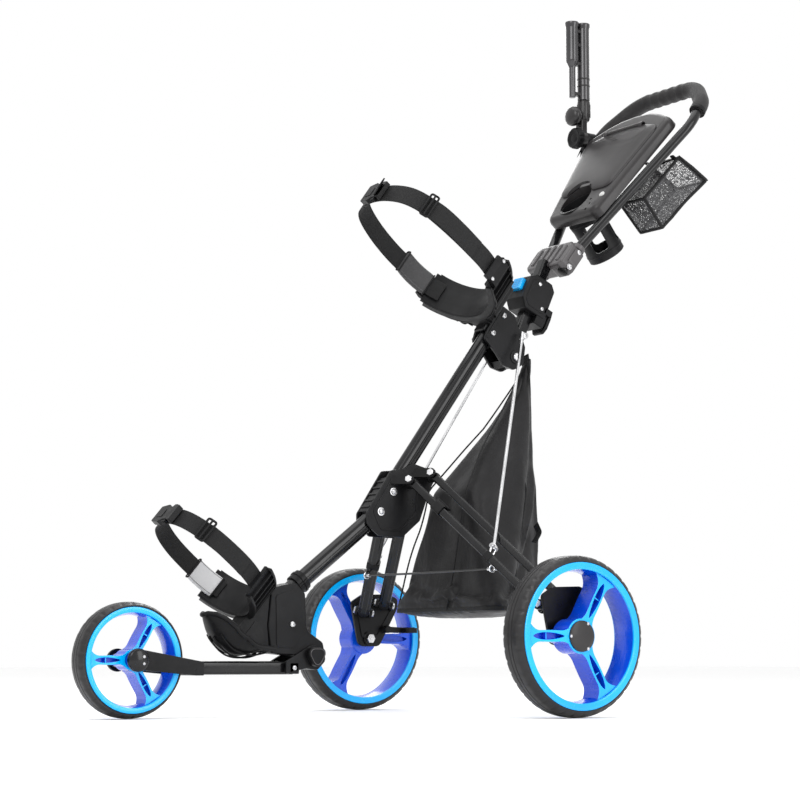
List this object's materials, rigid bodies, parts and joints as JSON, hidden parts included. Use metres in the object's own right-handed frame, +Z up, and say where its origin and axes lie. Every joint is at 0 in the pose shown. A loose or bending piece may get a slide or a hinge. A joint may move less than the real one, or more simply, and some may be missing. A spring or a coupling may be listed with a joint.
{
  "type": "folding golf push cart",
  "caption": "Three-wheel folding push cart that carries a golf bag in two strap cradles, with a U handle, console, net pocket, umbrella holder and storage bag.",
  "frame": {"origin": "floor point under the middle of the cart's bounding box", "axes": "+X to the cart's right-hand side seen from behind its front wheel, front wheel towards -Y, handle towards +Y, +Z up"},
  "size_m": [0.692, 1.2722, 1.3563],
  "materials": {
    "tube_black": "gloss black powder coat",
    "bracket_black": "satin black coated steel",
    "plastic_black": "moulded nylon, fine texture",
    "plastic_grey": "smooth satin moulding",
    "gloss_grey": "polished moulding",
    "rim_blue": "bright moulded blue",
    "tyre_rubber": "solid foam rubber",
    "foam_grip": "soft foam",
    "webbing": "woven nylon webbing",
    "sleeve_grey": "ribbed soft sleeve",
    "bag_nylon": "coated nylon cloth",
    "mesh_net": "open knit net",
    "cable_black": "elastic cord",
    "button_blue": "bright moulded blue",
    "steel": "zinc plated",
    "rod_steel": "bright drawn rod",
    "marker_white": "plain disc"
  },
  "bodies": {
    "frame": {"main_tube": "tube_black", "centre_bracket": "bracket_black", "centre_bolts": "steel", "upper_bracket": "bracket_black", "upper_bolts": "steel", "upper_cradle": "plastic_black", "upper_pad": "sleeve_grey", "upper_strap": "webbing", "upper_buckle": "plastic_black", "lower_cradle": "plastic_black", "lower_pad": "sleeve_grey", "lower_strap": "webbing", "lower_buckle": "plastic_black", "front_housing": "bracket_black", "storage_bag": "bag_nylon", "brake_cable": "cable_black", "pivot_cap": "plastic_black"},
    "handle": {"handle_tube": "tube_black", "rod_pin": "steel", "bar_clamp": "plastic_grey", "clamp_screws": "steel", "handle_bars": "tube_black", "handle_grip": "foam_grip", "lock_housing": "plastic_black", "console_body": "plastic_grey", "ball_marker": "marker_white", "cup_holder": "plastic_black", "net_pocket": "mesh_net", "net_rim": "webbing", "umbrella_clamp": "plastic_black"},
    "lock_button": {"lock_button": "button_blue"},
    "lock_lever": {"lock_lever": "plastic_black"},
    "console_lid": {"console_lid": "plastic_grey"},
    "clamp_knob": {"clamp_knob": "gloss_grey"},
    "umbrella_joint": {"umbrella_joint": "plastic_black"},
    "joint_knob": {"joint_knob": "gloss_grey"},
    "umbrella_tube": {"umbrella_tube": "gloss_grey"},
    "leg_right": {"leg_right": "bracket_black"},
    "leg_left": {"leg_left": "bracket_black"},
    "link_right": {"link_right": "bracket_black"},
    "link_left": {"link_left": "bracket_black"},
    "hub_right": {"hub_bracket_right": "bracket_black", "hub_hardware_right": "steel"},
    "hub_left": {"hub_bracket_left": "bracket_black", "hub_hardware_left": "steel"},
    "rod_right": {"rod_right": "rod_steel"},
    "rod_left": {"rod_left": "rod_steel"},
    "brake_pedal": {"brake_pedal": "plastic_black"},
    "wheel_right": {"tyre_right": "tyre_rubber", "rim_right": "rim_blue", "hub_cap_right": "plastic_black"},
    "wheel_left": {"tyre_left": "tyre_rubber", "rim_left": "rim_blue", "hub_cap_left": "plastic_black"},
    "fork": {"front_fork": "bracket_black", "front_axle": "steel"},
    "front_wheel": {"front_tyre": "tyre_rubber", "front_rim": "rim_blue"}
  },
  "joints": [
    {"name": "handle_fold", "type": "hinge", "parent": "frame", "child": "handle", "pos_m": [0, 0.22443, 0.64], "axis": [-1, 0, 0], "range_deg": [0, 150], "deforming": ["storage_bag", "brake_cable"]},
    {"name": "leg_fold_right", "type": "hinge", "parent": "frame", "child": "leg_right", "pos_m": [0.034, -0.01557, 0.4], "axis": [-0.5651, 0.7914, -0.2332], "range_deg": [0, 31.16]},
    {"name": "link_fold_right", "type": "hinge", "parent": "frame", "child": "link_right", "pos_m": [0.034, 0.03044, 0.414], "axis": [-0.5651, 0.7914, -0.2332], "range_deg": [0, 31.16]},
    {"name": "hub_level_right", "type": "hinge", "parent": "leg_right", "child": "hub_right", "pos_m": [0.264, 0.08443, 0.182], "axis": [0.5651, -0.7914, 0.2332], "range_deg": [0, 31.16]},
    {"name": "rod_swing_right", "type": "hinge", "parent": "leg_right", "child": "rod_right", "pos_m": [0.176, 0.05443, 0.283], "axis": [0.2876, -0.8345, 0.47], "range_deg": [0, 18.6]},
    {"name": "wheel_spin_right", "type": "hinge", "parent": "hub_right", "child": "wheel_right", "pos_m": [0.32, 0.10844, 0.1325], "axis": [1, 0, 0], "continuous": true},
    {"name": "leg_fold_left", "type": "hinge", "parent": "frame", "child": "leg_left", "pos_m": [-0.034, -0.01557, 0.4], "axis": [-0.5651, -0.7914, 0.2332], "range_deg": [0, 31.16]},
    {"name": "link_fold_left", "type": "hinge", "parent": "frame", "child": "link_left", "pos_m": [-0.034, 0.03044, 0.414], "axis": [-0.5651, -0.7914, 0.2332], "range_deg": [0, 31.16]},
    {"name": "hub_level_left", "type": "hinge", "parent": "leg_left", "child": "hub_left", "pos_m": [-0.264, 0.08443, 0.182], "axis": [0.5651, 0.7914, -0.2332], "range_deg": [0, 31.16]},
    {"name": "rod_swing_left", "type": "hinge", "parent": "leg_left", "child": "rod_left", "pos_m": [-0.176, 0.05443, 0.283], "axis": [0.2876, 0.8345, -0.47], "range_deg": [0, 18.6]},
    {"name": "wheel_spin_left", "type": "hinge", "parent": "hub_left", "child": "wheel_left", "pos_m": [-0.32, 0.10844, 0.1325], "axis": [1, 0, 0], "continuous": true},
    {"name": "front_fold", "type": "hinge", "parent": "frame", "child": "fork", "pos_m": [0, -0.20957, 0.1], "axis": [1, 0, 0], "range_deg": [0, 115]},
    {"name": "front_wheel_spin", "type": "hinge", "parent": "fork", "child": "front_wheel", "pos_m": [0, -0.54356, 0.0925], "axis": [1, 0, 0], "continuous": true},
    {"name": "lock_button_press", "type": "slide", "parent": "handle", "child": "lock_button", "axis": [0, 0.9085, -0.4179], "range_m": [0, 0.005], "stiffness_N_per_m": 400, "springref_m": -0.002},
    {"name": "lock_lever_flip", "type": "hinge", "parent": "handle", "child": "lock_lever", "pos_m": [0, 0.29947, 0.72656], "axis": [1, 0, 0], "range_deg": [0, 50]},
    {"name": "console_lid_open", "type": "hinge", "parent": "handle", "child": "console_lid", "pos_m": [0, 0.50593, 1.10903], "axis": [1, 0, 0], "range_deg": [-100, 0]},
    {"name": "umbrella_tilt", "type": "hinge", "parent": "handle", "child": "umbrella_joint", "pos_m": [-0.144, 0.51243, 1.12], "axis": [0, 1, 0], "range_deg": [-90, 0]},
    {"name": "umbrella_swivel", "type": "hinge", "parent": "umbrella_joint", "child": "umbrella_tube", "pos_m": [-0.144, 0.52643, 1.198], "axis": [0, 0, 1], "range_deg": [-180, 0]},
    {"name": "clamp_knob_turn", "type": "hinge", "parent": "handle", "child": "clamp_knob", "pos_m": [-0.144, 0.51243, 1.12], "axis": [0, 1, 0], "continuous": true},
    {"name": "joint_knob_turn", "type": "hinge", "parent": "umbrella_joint", "child": "joint_knob", "pos_m": [-0.144, 0.51243, 1.164], "axis": [0, 1, 0], "continuous": true},
    {"name": "brake_press", "type": "hinge", "parent": "hub_left", "child": "brake_pedal", "pos_m": [-0.2825, 0.14244, 0.15], "axis": [-1, 0, 0], "range_deg": [0, 18], "stiffness_Nm_per_rad": 2, "springref_deg": -17.19}
  ],
  "couplings": [
    {"joint": "leg_fold_right", "follows": "handle_fold", "ratio": 0.20772},
    {"joint": "link_fold_right", "follows": "handle_fold", "ratio": 0.20772},
    {"joint": "hub_level_right", "follows": "handle_fold", "ratio": 0.20772},
    {"joint": "rod_swing_right", "follows": "handle_fold", "ratio": 0.12397},
    {"joint": "leg_fold_left", "follows": "handle_fold", "ratio": 0.20772},
    {"joint": "link_fold_left", "follows": "handle_fold", "ratio": 0.20772},
    {"joint": "hub_level_left", "follows": "handle_fold", "ratio": 0.20772},
    {"joint": "rod_swing_left", "follows": "handle_fold", "ratio": 0.12397}
  ]
}
